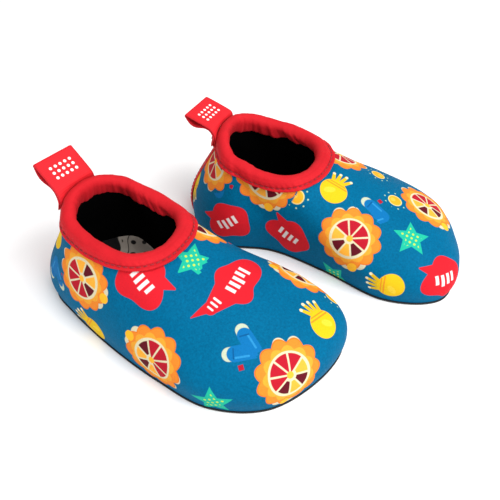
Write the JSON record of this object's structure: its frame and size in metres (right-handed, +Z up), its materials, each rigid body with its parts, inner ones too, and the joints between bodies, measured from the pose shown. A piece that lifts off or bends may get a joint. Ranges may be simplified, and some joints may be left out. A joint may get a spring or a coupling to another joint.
{
  "type": "toddler neoprene water shoes",
  "caption": "Pair of low slip-on neoprene water shoes with printed uppers, elasticated binding collars, heel pull loops and thin rubber soles.",
  "frame": {"origin": "centre of the pair's bounding box, on the floor that both soles stand on", "axes": "+Z up, +Y towards the toes of the right shoe, +X from the left shoe towards the right shoe"},
  "size_m": [0.1632, 0.1718, 0.0666],
  "materials": {
    "black_rubber": "matte moulded rubber with a fine tread",
    "board_cloth": "bonded board cloth",
    "dark_thread": "overlock thread",
    "printed_neoprene": "matte jersey-faced neoprene, teal with a printed cartoon sea pattern",
    "black_lining": "black knitted lining",
    "black_insole": "black cloth-topped foam with a grey printed patch",
    "red_binding": "soft stretch binding, fine knit",
    "white_elastic": "covered elastic cord",
    "red_thread": "polyester thread",
    "red_webbing": "fine ribbed webbing with a printed grid of white dots"
  },
  "bodies": {
    "right_shoe": {"right_outsole": "black_rubber", "right_strobel_board": "board_cloth", "right_strobel_seam": "dark_thread", "right_upper": "printed_neoprene", "right_heel_strip": "red_binding", "right_lining": "black_lining", "right_insole": "black_insole", "right_collar_band": "red_binding", "right_collar_elastic": "white_elastic", "right_collar_stitch": "red_thread", "right_loop_sewn_end": "red_webbing", "right_loop_bar_tack": "red_thread"},
    "left_shoe": {"left_outsole": "black_rubber", "left_strobel_board": "board_cloth", "left_strobel_seam": "dark_thread", "left_upper": "printed_neoprene", "left_heel_strip": "red_binding", "left_lining": "black_lining", "left_insole": "black_insole", "left_collar_band": "red_binding", "left_collar_elastic": "white_elastic", "left_collar_stitch": "red_thread", "left_loop_sewn_end": "red_webbing", "left_loop_bar_tack": "red_thread"},
    "right_loop": {"right_pull_loop": "red_webbing"},
    "left_loop": {"left_pull_loop": "red_webbing"}
  },
  "joints": [
    {"name": "left_shoe_lift", "type": "slide", "parent": "right_shoe", "child": "left_shoe", "axis": [0, 0, 1], "range_m": [0, 0.12]},
    {"name": "right_loop_hinge", "type": "hinge", "parent": "right_shoe", "child": "right_loop", "pos_m": [0.04451, -0.06796, 0.05758], "axis": [-0.9877, 0.1564, 0], "range_deg": [-49, 105]},
    {"name": "left_loop_hinge", "type": "hinge", "parent": "left_shoe", "child": "left_loop", "pos_m": [-0.02913, -0.03996, 0.05758], "axis": [-0.9994, -0.0349, 0], "range_deg": [-34, 115]}
  ]
}
